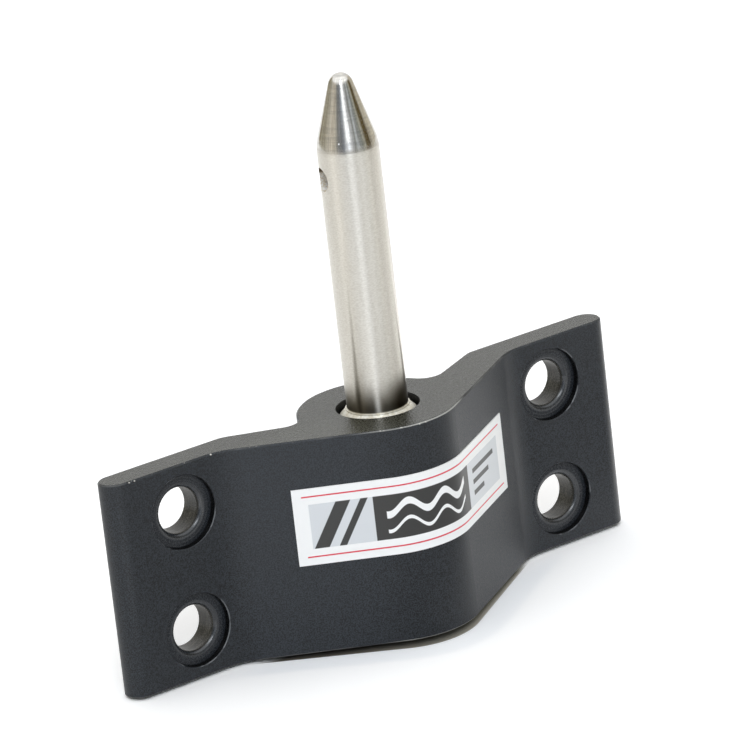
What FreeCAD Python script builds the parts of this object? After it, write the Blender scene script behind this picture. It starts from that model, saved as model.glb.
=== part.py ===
import FreeCAD, Part
import math
import os

# Rudder pintle for a small boat's transom: a bracket cut from an aluminium extrusion, a turned
# stainless pin pressed into its boss, and a vinyl label wrapped round its nose.
# Millimetres and degrees. The origin is on the pin's axis at the bracket's bottom face, +Z is
# up along the pin, and +Y points to the transom.

# Bracket section, as seen from above; the flanges end in a full round
pin_to_transom = 8.7
boss_radius = 13.2
flange_thickness = 5.3
flange_length = 20.9
front_slope_angle = 33.0
rear_slope_angle = 27.0
rear_bend_inset = 4.4
front_foot_radius = 9.0
rear_bend_radius = 4.0
boss_root_radius = 3.0

# Bracket length along the pin, and the break on its sawn edges
bracket_height = 36.0
edge_break = 0.25

# Screw holes: each has a shallow round seat and a rounded mouth
hole_diameter = 7.5
hole_end_distance = 13.2
hole_edge_distance = 8.0
seat_diameter = 12.2
seat_depth = 1.1
seat_rim_break = 0.12
hole_mouth_radius = 0.9

# Pin
pin_diameter = 10.0
pin_reach = 55.6
tip_radius = 2.1
cone_half_angle = 17.0
cone_foot_radius = 8.0
shoulder_width = 1.3
shoulder_sink = 0.15
root_land_width = 0.25
root_land_height = 0.2
shank_lift = 0.5
shank_end_break = 0.5
cross_hole_diameter = 4.0
cross_hole_below_cone = 4.4
cross_hole_turn = 18.0

# Bore: the shank fills it line to line, and its mouth stands clear of the shank
bore_mouth_gap = 0.55
bore_mouth_depth = 3.5

# Label, placed from the ends of the flat slopes and from the top face
label_thickness = 0.2
label_height = 12.9
label_top_margin = 8.1
label_left_margin = 8.1
label_right_margin = 4.7

# Sizes that follow
pin_radius = pin_diameter / 2
shank_radius = pin_radius + shoulder_width
bore_mouth_radius = shank_radius + bore_mouth_gap
transom_plane = pin_to_transom
flange_front = transom_plane - flange_thickness
slope = math.radians(front_slope_angle)
rear_slope = math.radians(rear_slope_angle)
nose_side_x = boss_radius * math.sin(slope)
nose_side_y = -boss_radius * math.cos(slope)
foot_x = nose_side_x + (flange_front - nose_side_y) / math.tan(slope)
slope_length = (flange_front - nose_side_y) / math.sin(slope)
half_width = foot_x + flange_length
rear_bend_x = foot_x - rear_bend_inset
end_radius = flange_thickness / 2
cutter_overrun = 2.0


def point(x, y, z=0.0):
    return FreeCAD.Vector(x, y, z)


def rounded_corner(before, corner, after, radius):
    """The arc that rounds the corner between two straight runs."""
    back = (before - corner).normalize()
    onward = (after - corner).normalize()
    half_angle = back.getAngle(onward) / 2
    inward = (back + onward).normalize()
    setback = radius / math.tan(half_angle)
    centre = corner + inward * (radius / math.sin(half_angle))
    return Part.Arc(corner + back * setback, centre - inward * radius, corner + onward * setback)


def boss_root():
    """The hollow arc that joins the right-hand rear slope to the boss."""
    bend = point(rear_bend_x, transom_plane)
    inward = point(-math.cos(rear_slope), -math.sin(rear_slope))
    outward = point(-math.sin(rear_slope), math.cos(rear_slope))
    start = bend + outward * boss_root_radius
    along = start.dot(inward)
    reach = boss_radius + boss_root_radius
    travel = -along - math.sqrt(along ** 2 - start.dot(start) + reach ** 2)
    centre = start + inward * travel
    on_slope = bend + inward * travel
    on_boss = centre * (boss_radius / reach)
    middle = centre + (on_slope + on_boss - centre * 2).normalize() * boss_root_radius
    return Part.Arc(on_slope, middle, on_boss)


def half_section():
    """The right half of the section, from the nose round to the rear of the boss."""
    nose = point(0, -boss_radius)
    nose_middle = point(boss_radius * math.sin(slope / 2), -boss_radius * math.cos(slope / 2))
    nose_side = point(nose_side_x, nose_side_y)
    foot = point(foot_x, flange_front)
    end_front = point(half_width - end_radius, flange_front)
    end_middle = point(half_width, flange_front + end_radius)
    end_rear = point(half_width - end_radius, transom_plane)
    bend = point(rear_bend_x, transom_plane)
    root = boss_root()
    front_foot = rounded_corner(nose_side, foot, end_front, front_foot_radius)
    rear_bend = rounded_corner(end_rear, bend, root.StartPoint, rear_bend_radius)
    boss_rear = point(0, boss_radius)
    root_angle = math.atan2(root.EndPoint.y, root.EndPoint.x)
    boss_middle_angle = (root_angle + math.pi / 2) / 2
    boss_middle = point(boss_radius * math.cos(boss_middle_angle), boss_radius * math.sin(boss_middle_angle))
    arcs = [
        Part.Arc(nose, nose_middle, nose_side),
        front_foot,
        Part.Arc(end_front, end_middle, end_rear),
        rear_bend,
        root,
        Part.Arc(root.EndPoint, boss_middle, boss_rear),
    ]
    edges = []
    for arc, following in zip(arcs, arcs[1:] + [None]):
        edges.append(arc.toShape())
        if following and arc.EndPoint.distanceToPoint(following.StartPoint) > 1e-6:
            edges.append(Part.LineSegment(arc.EndPoint, following.StartPoint).toShape())
    return edges


def extrusion():
    """The whole section, drawn up to the bracket's height and broken along its sawn edges."""
    right = half_section()
    left = [edge.mirror(point(0, 0), point(1, 0)) for edge in right]
    outline = Part.Wire(Part.__sortEdges__(right + left))
    block = Part.Face(outline).extrude(point(0, 0, bracket_height))
    sawn_edges = [edge for face in block.Faces if abs(face.normalAt(0, 0).z) > 0.99 for edge in face.Edges]
    return block.makeChamfer(edge_break, sawn_edges)


def screw_hole(x, z):
    """The cutter of one screw hole: seat, rounded mouth and through hole, along +Y."""
    front = flange_front - boss_radius
    seat_radius = seat_diameter / 2
    hole_radius = hole_diameter / 2
    rim_radius = seat_radius + seat_rim_break
    seat_floor = flange_front + seat_depth
    mouth_outer = point(hole_radius + hole_mouth_radius, seat_floor)
    mouth_inner = point(hole_radius, seat_floor + hole_mouth_radius)
    mouth_centre = point(mouth_outer.x, mouth_inner.y)
    mouth_middle = mouth_centre - point(1, 1).normalize() * hole_mouth_radius
    behind = transom_plane + cutter_overrun
    before_mouth = [
        point(0, front),
        point(rim_radius, front),
        point(rim_radius, flange_front),
        point(seat_radius, flange_front + seat_rim_break),
        point(seat_radius, seat_floor),
        mouth_outer,
    ]
    after_mouth = [mouth_inner, point(hole_radius, behind), point(0, behind), point(0, front)]
    edges = list(Part.makePolygon(before_mouth).Edges)
    edges.append(Part.Arc(mouth_outer, mouth_middle, mouth_inner).toShape())
    edges.extend(Part.makePolygon(after_mouth).Edges)
    cutter = Part.Face(Part.Wire(edges)).revolve(point(0, 0), point(0, 1), 360)
    cutter.translate(point(x, 0, z))
    return cutter


def pin_bore():
    """The cutter of the bore: it grips the shank and opens into a wider mouth."""
    bore = Part.makeCylinder(shank_radius, bracket_height + 2 * cutter_overrun, point(0, 0, -cutter_overrun))
    mouth_floor = bracket_height - bore_mouth_depth
    mouth = Part.makeCylinder(bore_mouth_radius, bore_mouth_depth + cutter_overrun, point(0, 0, mouth_floor))
    return bore.fuse(mouth)


def make_bracket():
    cutters = [pin_bore()]
    for side in (-1, 1):
        for z in (hole_edge_distance, bracket_height - hole_edge_distance):
            cutters.append(screw_hole(side * (half_width - hole_end_distance), z))
    return extrusion().cut(cutters)


def make_pin():
    """The turned pin: shank, 45 degree shoulder, root land, running length, cone and round tip."""
    cone = math.radians(cone_half_angle)
    tip_z = bracket_height + pin_reach
    tip_centre_z = tip_z - tip_radius
    cone_top = point(tip_radius * math.cos(cone), 0, tip_centre_z + tip_radius * math.sin(cone))
    cone_corner_z = cone_top.z - (pin_radius - cone_top.x) / math.tan(cone)
    cone_base_z = cone_corner_z - cone_foot_radius * math.tan(cone / 2)
    foot_centre_x = pin_radius - cone_foot_radius
    foot_middle = point(
        foot_centre_x + cone_foot_radius * math.cos(cone / 2), 0,
        cone_base_z + cone_foot_radius * math.sin(cone / 2),
    )
    foot_top = point(
        foot_centre_x + cone_foot_radius * math.cos(cone), 0, cone_base_z + cone_foot_radius * math.sin(cone)
    )
    tip_middle_angle = (cone + math.pi / 2) / 2
    tip_middle = point(
        tip_radius * math.cos(tip_middle_angle), 0, tip_centre_z + tip_radius * math.sin(tip_middle_angle)
    )
    land_radius = pin_radius + root_land_width
    shoulder_top_z = bracket_height - shoulder_sink
    shoulder_foot_z = shoulder_top_z - (shank_radius - land_radius)
    land_z = shoulder_top_z + root_land_height
    turned = [
        point(0, 0, shank_lift),
        point(shank_radius - shank_end_break, 0, shank_lift),
        point(shank_radius, 0, shank_lift + shank_end_break),
        point(shank_radius, 0, shoulder_foot_z),
        point(land_radius, 0, shoulder_top_z),
        point(land_radius, 0, land_z),
        point(pin_radius, 0, land_z),
        point(pin_radius, 0, cone_base_z),
    ]
    tip = point(0, 0, tip_z)
    edges = list(Part.makePolygon(turned).Edges)
    edges.append(Part.Arc(turned[-1], foot_middle, foot_top).toShape())
    edges.append(Part.LineSegment(foot_top, cone_top).toShape())
    edges.append(Part.Arc(cone_top, tip_middle, tip).toShape())
    edges.append(Part.LineSegment(tip, turned[0]).toShape())
    bar = Part.Face(Part.Wire(edges)).revolve(point(0, 0), point(0, 0, 1), 360)
    turn = math.radians(cross_hole_turn)
    along = point(-math.cos(turn), math.sin(turn))
    hole_middle = point(0, 0, cone_base_z - cross_hole_below_cone)
    half_length = pin_radius + cutter_overrun
    drill = Part.makeCylinder(
        cross_hole_diameter / 2, 2 * half_length, hole_middle - along * half_length, along
    )
    return bar.cut(drill)


def make_label():
    """The film: its inner face is the bracket's own front, over the nose and part of each slope."""
    foot_setback = front_foot_radius * math.tan(slope / 2)
    flat_run = slope_length - foot_setback
    out_left = point(-math.sin(slope), -math.cos(slope))
    out_right = point(math.sin(slope), -math.cos(slope))
    down_left = point(-math.cos(slope), math.sin(slope))
    down_right = point(math.cos(slope), math.sin(slope))

    def film_face(radius):
        left_side = out_left * radius
        right_side = out_right * radius
        left_end = left_side + down_left * (flat_run - label_left_margin)
        right_end = right_side + down_right * (flat_run - label_right_margin)
        return [
            Part.LineSegment(left_end, left_side),
            Part.Arc(left_side, point(0, -radius), right_side),
            Part.LineSegment(right_side, right_end),
        ]

    inner = film_face(boss_radius)
    outer = film_face(boss_radius + label_thickness)
    ends = [
        Part.LineSegment(inner[0].StartPoint, outer[0].StartPoint),
        Part.LineSegment(inner[-1].EndPoint, outer[-1].EndPoint),
    ]
    edges = [piece.toShape() for piece in inner + outer + ends]
    film = Part.Face(Part.Wire(Part.__sortEdges__(edges)))
    film.translate(point(0, 0, bracket_height - label_top_margin - label_height))
    return film.extrude(point(0, 0, label_height))


os.makedirs("parts", exist_ok=True)
make_bracket().exportStep("parts/bracket.step")
make_pin().exportStep("parts/pin.step")
make_label().exportStep("parts/label.step")
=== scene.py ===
import bpy
import bmesh
import math
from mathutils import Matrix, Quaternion, Vector

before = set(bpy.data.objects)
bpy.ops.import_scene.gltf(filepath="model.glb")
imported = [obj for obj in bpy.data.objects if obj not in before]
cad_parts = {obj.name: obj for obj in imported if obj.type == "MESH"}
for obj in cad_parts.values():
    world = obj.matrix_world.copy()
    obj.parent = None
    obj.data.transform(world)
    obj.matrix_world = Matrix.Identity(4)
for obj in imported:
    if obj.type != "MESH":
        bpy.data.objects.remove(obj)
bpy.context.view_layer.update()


# Camera. A long lens, to the left of the pin and a little above the bracket, held slightly
# off level, as the photograph was taken.

MM = 0.001
camera_place = Vector((-540.11, -771.32, 348.99)) * MM
camera_aim = Vector((0.155, 0.0, 40.967)) * MM
camera_roll = math.radians(-6.598)
lens_length = 296.42
sensor_width = 36
furthest_seen = 20

camera = bpy.data.objects.new("camera", bpy.data.cameras.new("camera"))
camera.data.sensor_width = sensor_width
camera.data.lens = lens_length
camera.data.clip_end = furthest_seen
camera.location = camera_place
level_view = (camera_aim - camera_place).to_track_quat("-Z", "Y")
camera.rotation_mode = "QUATERNION"
camera.rotation_quaternion = level_view @ Quaternion((0, 0, 1), camera_roll)
bpy.context.scene.collection.objects.link(camera)
bpy.context.scene.camera = camera
bpy.context.scene.view_settings.view_transform = "Standard"


# Bracket. A length of aluminium extrusion, sawn square, drilled and anodised black.
# The coating is matt, with a fine grain and faint lines from the die up and down the front.
# The sawn ends are browner, and their edges have lost the black in small chips.

class Signal:
    """A number, colour or vector on its way through a finish's nodes."""

    def __init__(self, finish, socket):
        self.finish = finish
        self.socket = socket

    def __add__(self, other):
        return self.finish.math("ADD", self, other)

    def __sub__(self, other):
        return self.finish.math("SUBTRACT", self, other)

    def __rsub__(self, other):
        return self.finish.math("SUBTRACT", other, self)

    def __mul__(self, other):
        return self.finish.math("MULTIPLY", self, other)

    def __truediv__(self, other):
        return self.finish.math("DIVIDE", self, other)

    def __abs__(self):
        return self.finish.math("ABSOLUTE", self)

    __radd__ = __add__
    __rmul__ = __mul__

    def rise(self, low, high):
        """A soft step: 0 at low and beyond it, 1 at high and beyond it."""
        sockets = {"Value": self, "From Min": low, "From Max": high}
        if low > high:
            sockets = {"Value": self, "From Min": high, "From Max": low, "To Min": 1.0, "To Max": 0.0}
        return self.finish.node("MapRange", {"interpolation_type": "SMOOTHSTEP"}, sockets)

    def between(self, low, high, soft=0.05):
        """1 from low to high, and 0 outside."""
        return self.rise(low - soft, low + soft) * self.rise(high + soft, high - soft)


class Finish:
    """The nodes of one finish, which are all made in one way."""

    def __init__(self, owner):
        owner.use_nodes = True
        self.tree = owner.node_tree
        self.tree.nodes.clear()

    def node(self, kind, settings=None, sockets=None, output=0):
        made = self.tree.nodes.new("ShaderNode" + kind)
        for name, setting in (settings or {}).items():
            if name == "stops":
                elements = made.color_ramp.elements
                while len(elements) < len(setting):
                    elements.new(1.0)
                for element, (place, stop_colour) in zip(elements, setting):
                    element.position = place
                    element.color = (*stop_colour, 1.0)
            else:
                setattr(made, name, setting)
        for name, given in (sockets or {}).items():
            if isinstance(given, Signal):
                self.tree.links.new(given.socket, made.inputs[name])
            else:
                made.inputs[name].default_value = given
        return Signal(self, made.outputs[output]) if made.outputs else None

    def math(self, operation, *values):
        return self.node("Math", {"operation": operation}, dict(enumerate(values)))

    def vector(self, operation, *values, output=0):
        return self.node("VectorMath", {"operation": operation}, dict(enumerate(values)), output=output)

    def parts(self, vector):
        return [self.node("SeparateXYZ", {}, {0: vector}, output=axis) for axis in "XYZ"]

    def place(self):
        """The point on the piece in millimetres."""
        metres = self.node("TexCoord", output="Object")
        return self.vector("MULTIPLY", metres, (1 / MM, 1 / MM, 1 / MM))

    def noise(self, point, scales, detail=2.0):
        """A cloudy pattern with the given number of patches per millimetre along x, y and z."""
        sockets = {"Vector": self.vector("MULTIPLY", point, scales), "Scale": 1.0, "Detail": detail}
        return self.node("TexNoise", {}, sockets, output="Fac")

    def blend(self, amount, first, second):
        return self.node("Mix", {"data_type": "RGBA"}, {"Factor": amount, 6: first, 7: second}, output=2)

    def grey(self, mirrored_level):
        """A number as a grey of that strength."""
        return self.node("CombineXYZ", {}, {0: mirrored_level, 1: mirrored_level, 2: mirrored_level})

    def length(self, side, rise):
        """The long side of a right triangle."""
        return self.math("SQRT", side * side + rise * rise)

    def near(self, point, centre, radius):
        """1 in a small round mark about centre, 0 outside it."""
        return self.vector("DISTANCE", point, centre, output="Value").rise(radius, 0.5 * radius)

    def light_path(self, *kinds):
        """1 for rays of the named kinds, 0 for others."""
        flags = [self.node("LightPath", output=kind) for kind in kinds]
        total = flags[0]
        for flag in flags[1:]:
            total = self.math("MAXIMUM", total, flag)
        return total

    def bump(self, height, depth):
        """The height pattern, depth millimetres deep, as a normal."""
        return self.node("Bump", {}, {"Height": height, "Distance": depth * MM})

    def close(self, **sockets):
        """Joins the surface's values in one shader and puts it on the material."""
        named = {name.replace("_", " "): given for name, given in sockets.items()}
        shader = self.node("BsdfPrincipled", {}, named)
        self.node("OutputMaterial", {}, {"Surface": shader})


def shade(red, green, blue):
    """A colour as a screen shows it, 0 to 255, as light."""
    return (*[((c / 255 + 0.055) / 1.055) ** 2.4 for c in (red, green, blue)], 1.0)


bracket_height = 36.0
edge_break = 0.25
nose_radius = 13.2
flange_front = 3.4
hole_x = 37.172
hole_z = 10.0
hole_radius = 3.75
seat_radius = 6.1
seat_floor = flange_front + 1.1
mouth_end = seat_floor + 0.9
bore_mouth_radius = 6.85

drawn_black = shade(36, 40, 45)
sawn_black = shade(52, 53, 45)
seat_wall_shade_black = shade(6, 7, 8)
bore_shade_black = shade(14, 15, 16)
drill_dark = shade(46, 45, 42)
drill_light = shade(84, 82, 75)
worn_and_highlight_grey = shade(166, 166, 162)
rim_glint_grey = shade(132, 135, 138)
bare_aluminium = shade(196, 194, 188)

anodised = bpy.data.materials.new("black_anodised_aluminium")
black = Finish(anodised)
point = black.place()
x, y, z = black.parts(point)

from_middle = abs(z - bracket_height / 2)
from_end = bracket_height / 2 - from_middle
sawn = from_end.rise(0.02, 0.005)
lightened_left_slope = (0 - x).between(9.0, 30.0, 3.0) * y.rise(flange_front, 1.0)
on_nose = y.rise(-8.0, -11.0)
shaded_pin_bore = black.length(x, y).rise(bore_mouth_radius + 0.15, bore_mouth_radius + 0.05)
shaded_pin_bore = shaded_pin_bore * z.rise(bracket_height - 0.05, bracket_height - 0.3)

from_hole = black.length(abs(x) - hole_x, from_middle - hole_z)
in_hole = from_hole.rise(hole_radius + 0.2, hole_radius + 0.05)
in_seat = from_hole.rise(seat_radius + 0.1, seat_radius - 0.05)
in_seat = in_seat * y.between(flange_front + 0.15, mouth_end + 0.2, 0.01)
hole_mouth = from_hole.rise(hole_radius + 1.1, hole_radius + 0.8) * (1 - in_hole) * in_seat
shaded_seat_wall = from_hole.rise(seat_radius - 0.12, seat_radius - 0.02)
shaded_seat_wall = shaded_seat_wall * from_hole.rise(seat_radius + 0.3, seat_radius + 0.1)
shaded_seat_wall = shaded_seat_wall * y.between(flange_front + 0.14, seat_floor + 0.5, 0.01)
seat_rim = from_hole.between(seat_radius - 0.02, seat_radius + 0.12, 0.03)
seat_rim = seat_rim * y.between(flange_front - 0.2, flange_front + 0.2, 0.02)

grain = black.noise(point, (5.2, 5.2, 5.2))
speckle = grain.rise(0.36, 0.64) - 0.5
clouds = black.noise(point, (0.05, 0.05, 0.05))
die_lines = black.noise(point, (1.6, 1.6, 0.02))
saw_lines = black.noise(point, (0.25, 3.5, 1.0))
sawn_grain = black.noise(point, (2.8, 2.0, 1.0)).rise(0.34, 0.66)
drill_marks = black.noise(point, (0.4, 5.5, 0.4), 3.0).rise(0.30, 0.74)
seat_rings = black.math("SINE", from_hole * 12.0)

lightness = 0.805 + 1.25 * speckle * (1 - 0.7 * in_seat) + 0.16 * die_lines + 0.12 * clouds
# Painted light: the left slope is made lighter than the rest of the coat.
lightness = lightness + 0.28 * lightened_left_slope + sawn * (0.65 * sawn_grain - 0.33)
coat = black.blend(sawn, drawn_black, sawn_black)
# Painted shade: the seat walls are painted near black, as the shade in the recess.
coat = black.blend(shaded_seat_wall, coat, seat_wall_shade_black)
coat = black.blend(in_hole, coat, black.blend(drill_marks, drill_dark, drill_light))
coat = black.vector("MULTIPLY", coat, black.grey(lightness))

broken_edge = from_end.rise(edge_break - 0.01, edge_break - 0.06) * from_end.rise(0.03, 0.08)
chip_pattern = black.noise(point, (2.3, 2.3, 5.0), 4.0) + 0.05 * on_nose
chips = broken_edge * chip_pattern.rise(0.67, 0.73)
nick_radius = 0.2
nicks = [
    (-46.6, flange_front, 35.85),
    (-45.6, flange_front, 35.85),
    (-30.8, flange_front, 35.85),
    (-1.5, -13.1, 35.85),
    (-0.3, -13.15, 35.88),
]
for nick in nicks:
    chips = black.math("MAXIMUM", chips, black.near(point, nick, nick_radius))
# The broken edge is rubbed grey, and along the nose it is painted lighter and fuller as a painted
# highlight.
wear_and_highlight = black.noise(point, (0.12, 0.12, 0.12), 3.0).rise(0.40, 0.62) + 0.7 * on_nose
coat = black.blend(broken_edge * wear_and_highlight * (0.25 + 0.6 * on_nose), coat, worn_and_highlight_grey)
# Painted shade: the mouth of the bore round the pin is painted near black, as the shade in the gap.
coat = black.blend(shaded_pin_bore, coat, bore_shade_black)
# Painted glints: light specks on the seat rims.
rim_glints = black.noise(point, (0.3, 0.3, 0.3), 3.0).rise(0.50, 0.60)
coat = black.blend(0.6 * seat_rim * rim_glints, coat, rim_glint_grey)

relief = grain * (1 - in_seat) + 0.3 * die_lines * (1 - sawn) + 0.25 * seat_rings * in_seat
relief = relief + sawn * (sawn_grain + 0.5 * saw_lines)
black.close(
    Base_Color=black.blend(chips, coat, bare_aluminium),
    Roughness=0.39 + 0.20 * speckle * (1 - 0.9 * in_seat) - 0.13 * sawn - 0.12 * in_seat,
    Metallic=chips,
    IOR=1.43,
    Coat_Weight=0.85 * hole_mouth,
    Coat_Roughness=0.22,
    Normal=black.bump(relief, 0.032),
)
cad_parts["bracket"].material_slots[0].material = anodised


# Pin. One stainless bar, turned, with a cross hole drilled under its cone and a polished tip.
# The running length is satin, with fine rings from the turning. The foot is painted darker, as a painted
# reflection of the black bore it stands in, with a painted highlight line left down its middle and
# painted dark reflections on one side and in a line on the other. The shoulder round it is left rough
# and pale.

cone_base = 79.133
ring_foot = 36.05
cross_hole_radius = 2.0
cross_hole_middle = (0.0, 0.0, 74.733)
cross_hole_axis = (-0.951, 0.309, 0.0)
shaded_roof = 75.2
reflection_turn = math.radians(35.0)
dent_place = (-3.72, -2.92, 81.2)
dent_radius = 0.17

satin_dark = shade(209, 205, 196)
satin_light = shade(222, 219, 211)
foot_reflection_brown = shade(126, 120, 108)
foot_reflection_black = shade(58, 53, 43)
polish_dark = shade(203, 200, 193)
polish_light = shade(228, 226, 220)
feed_grey = shade(150, 150, 152)
knee_shade_grey = shade(192, 188, 179)
shoulder_dark = shade(232, 226, 207)
shoulder_light = shade(254, 251, 240)
drilled_dark = shade(226, 214, 190)
drilled_light = shade(255, 254, 250)
roof_shade_brown = shade(92, 78, 58)
dent_glint_white = shade(250, 250, 250)

stainless = bpy.data.materials.new("stainless_steel")
steel = Finish(stainless)
point = steel.place()
x, y, z = steel.parts(point)

turned_rings = steel.noise(point, (0.02, 0.02, 9.0), 3.0)
dashes = steel.noise(point, (2.5, 2.5, 6.0)).rise(0.3, 0.7)
smears = steel.noise(point, (0.12, 0.12, 0.05))
feed_marks = steel.noise(point, (0.35, 0.35, 4.2))
cut_marks = steel.noise(point, (1.6, 1.6, 1.6), 3.0).rise(0.35, 0.65)
swarf_marks = steel.noise(point, (2.5, 2.5, 4.0), 3.0).rise(0.40, 0.60)
outward = steel.vector("NORMALIZE", steel.vector("MULTIPLY", point, (1, 1, 0)))
round_pin = steel.vector("MULTIPLY", outward, (16, 16, 0))
up_pin = steel.vector("MULTIPLY", point, (0, 0, 0.2))
polish_streaks = steel.noise(steel.vector("ADD", round_pin, up_pin), (1, 1, 1), 3.0)

polished = z.rise(cone_base + 0.36, cone_base + 0.48)
shaded_knee = z.rise(cone_base + 1.3, cone_base + 0.5) * polished
off_tip = steel.length(x, y).rise(0.6, 2.2)
shoulder = z.rise(ring_foot + 0.3, ring_foot - 0.1)
from_cross_middle = steel.vector("SUBTRACT", point, cross_hole_middle)
off_cross_axis = steel.vector("CROSS_PRODUCT", from_cross_middle, cross_hole_axis)
from_cross_hole = steel.vector("LENGTH", off_cross_axis, output="Value")
in_cross_hole = from_cross_hole.rise(cross_hole_radius + 0.06, cross_hole_radius + 0.03)
dent = steel.near(point, dent_place, dent_radius)

reflected_foot = z.rise(ring_foot + 6.0, ring_foot + 0.6)
tall_reflected_foot = z.rise(ring_foot + 7.0, ring_foot + 2.0)
across = x * math.cos(reflection_turn) - y * math.sin(reflection_turn)
glint_line = across.between(-0.3, 0.3, 0.5)
reflection_line = across.between(-3.1, -2.6, 0.4)
reflection_side = across.rise(0.8, 4.2)

metal = steel.blend(dashes, satin_dark, satin_light)
# Painted reflection: the foot is painted darker, leaving a painted highlight line; one side and a line
# on the other are painted darker still.
metal = steel.blend(reflected_foot * (1 - glint_line), metal, foot_reflection_brown)
metal = steel.blend(tall_reflected_foot * reflection_side, metal, foot_reflection_black)
metal = steel.blend(0.8 * tall_reflected_foot * reflection_line, metal, foot_reflection_black)
polish = steel.blend(polish_streaks.rise(0.35, 0.65), polish_dark, polish_light)
polish = steel.blend(0.22 * feed_marks.rise(0.44, 0.62), polish, feed_grey)
metal = steel.blend(polished, metal, polish)
# Painted shade: the knee where the polish starts is painted darker grey.
metal = steel.blend(shaded_knee, metal, knee_shade_grey)
metal = steel.blend(shoulder, metal, steel.blend(cut_marks, shoulder_dark, shoulder_light))
hole_wall = steel.blend(swarf_marks, drilled_dark, drilled_light)
# Painted shade: the roof of the cross hole is painted dark brown.
hole_wall = steel.blend(z.rise(shaded_roof, shaded_roof + 0.6), hole_wall, roof_shade_brown)
metal = steel.blend(in_cross_hole, metal, hole_wall)
# A real nick on the cone, painted white as a painted glint.
metal = steel.blend(dent, metal, dent_glint_white)

dull = steel.math("MAXIMUM", in_cross_hole, dent)
dull = steel.math("MAXIMUM", dull, 0.6 * shoulder)
polish_relief = (0.6 * polish_streaks + 0.2 * feed_marks) * polished * off_tip
steel.close(
    Base_Color=metal,
    Metallic=1 - 0.95 * dull,
    Roughness=0.29 + 0.02 * (smears - 0.5) - 0.13 * polished + 0.3 * dull,
    Anisotropic=0.88,
    Anisotropic_Rotation=0.25,
    Normal=steel.bump(turned_rings * (1 - polished) + polish_relief, 0.004),
)
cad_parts["pin"].material_slots[0].material = stainless


# Label. White vinyl film, printed in red, charcoal and grey under a clear gloss, and stuck
# round the nose and on to both slopes. The print is laid out along the film's own length.

slope = math.radians(33)
nose_side = (nose_radius + 0.2) * math.sin(slope)
label_middle = 21.45
print_half_height = 3.75
print_left = -20.9
mark_left = -10.6
mark_right = 9.4
print_right = 23.7
line_inside = 4.95
line_outside = 5.2
swell_length = 6.6
slant_per_rise = 0.55
bar_start = 11.6
bar_half_width = 0.4
bar_ends = [(1.85, 21.6), (0.0, 19.0), (-1.85, 16.4)]

white_film = shade(252, 253, 253)
charcoal = shade(58, 58, 57)
cool_grey = shade(220, 224, 228)
red_ink = shade(222, 52, 70)

vinyl = bpy.data.materials.new("label_film")
film = Finish(vinyl)
point = film.place()
x, y, z = film.parts(point)
up = z - label_middle
round_nose = nose_radius * film.math("MINIMUM", abs(film.math("ARCTAN2", x, 0 - y)), slope)
down_slope = film.math("MAXIMUM", abs(x) - nose_side, 0.0) / math.cos(slope)
along = film.math("SIGN", x) * (round_nose + down_slope)

print_band = up.between(-print_half_height, print_half_height)
left_field = along.between(print_left, mark_left) * print_band
middle_field = along.between(mark_left, mark_right) * print_band
right_field = along.between(mark_right, print_right) * print_band
pinstripes = abs(up).between(line_inside, line_outside)
pinstripes = pinstripes * along.between(print_left - 1.0, print_right + 1.5)
slant = along - slant_per_rise * up
slanted = left_field * (slant.between(-18.6, -16.2) + slant.between(-14.6, -13.4))
swell = up - film.math("SINE", along * (2 * math.pi / swell_length))
wave_bands = swell.between(0.75, 1.95) + swell.between(-1.75, -1.15)
waves = middle_field * along.between(mark_left + 2.0, mark_right - 2.0) * wave_bands
bars = 0
for bar_height, bar_end in bar_ends:
    bar_band = up.between(bar_height - bar_half_width, bar_height + bar_half_width)
    bars = bars + along.between(bar_start, bar_end) * bar_band

ink = film.blend(pinstripes, white_film, red_ink)
ink = film.blend(left_field + right_field, ink, cool_grey)
ink = film.blend(slanted + right_field * bars, ink, charcoal)
ink = film.blend(middle_field, ink, charcoal)
ink = film.blend(waves, ink, white_film)
film.close(
    Base_Color=ink,
    Roughness=0.32,
    IOR=1.46,
    Normal=film.bump(film.noise(point, (0.6, 0.6, 0.6)), 0.01),
)
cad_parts["label"].material_slots[0].material = vinyl


# Studio. A white sheet under the object that falls away a little towards the nose and ends a short way
# in front, under a wide soft ceiling. The walls round it are darker and lighter in turn, with a bright
# panel in front, for the pin to mirror, and white behind the object. The sheet carries a painted shadow
# in front of the nose and a painted dark shade under it, and where metal mirrors it, it is painted
# lighter and darker in patches.

studio_turn = math.radians(35.0)
forward = Vector((-math.sin(studio_turn), -math.cos(studio_turn), 0))
sideways = Vector((math.cos(studio_turn), -math.sin(studio_turn), 0))
sheet_fall = 0.048
sheet_touch = 13.2
sheet_front = 450.0
sheet_side = 450.0
sheet_rear = 1100.0

sheet = bpy.data.objects.new("floor", bpy.data.meshes.new("floor"))
bpy.context.scene.collection.objects.link(sheet)
cloth = bmesh.new()
corners = []
for front, side in ((-sheet_rear, -1), (-sheet_rear, 1), (sheet_front, 1), (sheet_front, -1)):
    corner = forward * front + sideways * (side * sheet_side)
    corner.z = sheet_fall * (corner.y - sheet_touch)
    corners.append(cloth.verts.new(corner * MM))
cloth.faces.new(corners)
cloth.to_mesh(sheet.data)
cloth.free()

lit_white = (0.93, 0.932, 0.935, 1.0)
seen_white = (1.215, 1.22, 1.225, 1.0)
painted_nose_shadow = (1.10, 1.125, 1.155, 1.0)
gap_shade_left = (0.11, 0.10, 0.085, 1.0)
gap_shade_right = (0.42, 0.40, 0.34, 1.0)

paper = bpy.data.materials.new("white_paper")
page = Finish(paper)
x, y, z = page.parts(page.place())
to_right = x * sideways.x + y * sideways.y
to_front = x * forward.x + y * forward.y
from_pin = page.length(x, y)
degrees_about = page.math("ARCTAN2", to_right, to_front) * (180 / math.pi)

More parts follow.
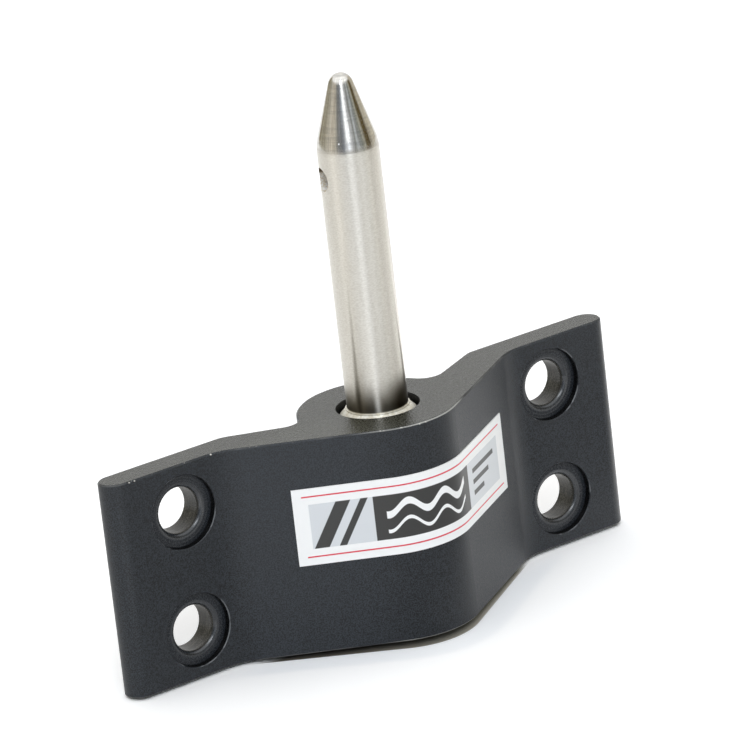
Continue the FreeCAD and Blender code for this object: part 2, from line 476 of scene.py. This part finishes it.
# Painted light and shadow: where metal mirrors the sheet, it is painted lighter in patches to the left,
# right and far off, and darker to the right and close in front.
bright_left = to_front.rise(40, 70) * to_front.rise(145, 115)
bright_left = bright_left * to_right.rise(15, -5) * to_right.rise(-60, -35)
bright_right = (to_front + to_right).rise(65, 25) * to_front.rise(-150, -110)
bright_right = bright_right * to_right.rise(5, 20) * to_right.rise(125, 95)
dim_right = to_front.rise(-40, -20) * to_front.rise(100, 70)
dim_right = dim_right * to_right.rise(-20, 15) * to_right.rise(150, 120)
close_shadow = y.rise(-60, -20) * y.rise(-2, -8)
far_light_left = degrees_about.rise(-92, -54) * degrees_about.rise(-8, -26)
far_light_right = degrees_about.rise(12, 32) * degrees_about.rise(112, 70)
mirrored_level = 1.0 + 0.5 * bright_left + 0.75 * bright_right - 0.45 * dim_right - 0.2 * close_shadow
mirrored_level = mirrored_level + from_pin.rise(105, 150) * (0.08 + 0.30 * far_light_left + 0.30 * far_light_right)

past_slope = page.math("MAXIMUM", abs(page.math("ARCTAN2", x, 0 - y)) - slope, 0.0)
reach = from_pin * page.math("COSINE", past_slope)
# Painted shadow: seen by the camera, the sheet is painted darker and bluer in front of the nose, and
# dark under it.
near_nose = reach.rise(nose_radius + 5.6, nose_radius + 3.8)
near_nose = near_nose * y.rise(flange_front, flange_front - 6.0)
under_nose = reach.rise(nose_radius + 0.3, nose_radius - 0.1)
under_nose = under_nose * y.rise(flange_front, flange_front - 3.0)
seen = page.blend(near_nose, seen_white, painted_nose_shadow)
seen = page.blend(under_nose, seen, page.blend(to_right.rise(-15, 22), gap_shade_left, gap_shade_right))
mirrored_rays = page.light_path("Is Glossy Ray", "Is Transmission Ray")
paper_white = page.blend(mirrored_rays, lit_white, page.grey(mirrored_level))
paper_white = page.blend(page.light_path("Is Camera Ray"), paper_white, seen)
page.node("OutputMaterial", {}, {"Surface": page.node("BsdfDiffuse", {}, {"Color": paper_white})})
sheet.data.materials.append(paper)

white = (1.0, 1.0, 1.0)
wall_colours = [
    (-180, white),
    (-143, white),
    (-139, (0.30, 0.26, 0.16)),
    (-130, (0.30, 0.26, 0.16)),
    (-125, (0.38, 0.355, 0.27)),
    (-97, (0.43, 0.40, 0.32)),
    (-81, (0.57, 0.54, 0.465)),
    (-67, (0.70, 0.65, 0.56)),
    (-54, (0.60, 0.555, 0.47)),
    (-44, (0.43, 0.41, 0.36)),
    (-39, (0.30, 0.30, 0.285)),
    (-34, (0.26, 0.27, 0.28)),
    (-22, (0.225, 0.24, 0.265)),
    (-15, (0.26, 0.29, 0.34)),
    (-5, (0.72, 0.77, 0.84)),
    (12, (0.82, 0.85, 0.90)),
    (20, (0.56, 0.58, 0.62)),
    (28, (0.34, 0.36, 0.365)),
    (34, (0.33, 0.35, 0.35)),
    (41, (0.52, 0.56, 0.60)),
    (47, (0.36, 0.38, 0.38)),
    (55, (0.26, 0.28, 0.27)),
    (70, (0.43, 0.42, 0.35)),
    (77, (0.14, 0.108, 0.05)),
    (93, (0.12, 0.09, 0.04)),
    (99, (0.40, 0.365, 0.295)),
    (116, (0.62, 0.58, 0.48)),
    (143, (0.64, 0.60, 0.50)),
    (147, white),
    (180, white),
]
ceiling_white = (1.4, 1.42, 1.45, 1.0)
mirrored_ceiling = (1.07, 1.07, 1.07, 1.0)
softbox_white = (6.5, 6.8, 7.2, 1.0)
low_strip_white = (2.0, 2.2, 2.5, 1.0)

room = bpy.data.worlds.new("studio")
bpy.context.scene.world = room
air = Finish(room)
east, north, rise = air.parts(air.node("TexCoord", output="Generated"))
turned = air.math(
    "ARCTAN2",
    east * sideways.x + north * sideways.y,
    east * forward.x + north * forward.y,
)
degrees_round = turned * (180 / math.pi)
stops = [(degrees / 360 + 0.5, colour) for degrees, colour in wall_colours]
walls = air.node("ValToRGB", {"stops": stops}, {0: turned / (2 * math.pi) + 0.5})

mirrored_rays = air.light_path("Is Glossy Ray", "Is Transmission Ray")
ceiling_side = air.light_path("Is Glossy Ray") * abs(degrees_round).rise(120, 90)
ceiling = air.blend(ceiling_side, mirrored_ceiling, ceiling_white)
softbox = degrees_round.between(-5, 13, 2.5) * rise.between(0.42, 0.80, 0.04)
low_strip = degrees_round.between(-1, 13, 3.0) * rise.between(0.03, 0.11, 0.02)
lit = air.blend(rise.rise(0.46, 0.68), walls, ceiling)
lit = air.blend(softbox, lit, softbox_white)
lit = air.blend(low_strip, lit, low_strip_white)
backdrop = abs(degrees_round).rise(144, 147) * rise.rise(0.66, 0.60)
shown_white = air.math("MAXIMUM", air.light_path("Is Camera Ray"), mirrored_rays * backdrop)
glow = air.blend(shown_white, lit, (*white, 1.0))
air.node("OutputWorld", {}, {"Surface": air.node("Background", {}, {"Color": glow})})
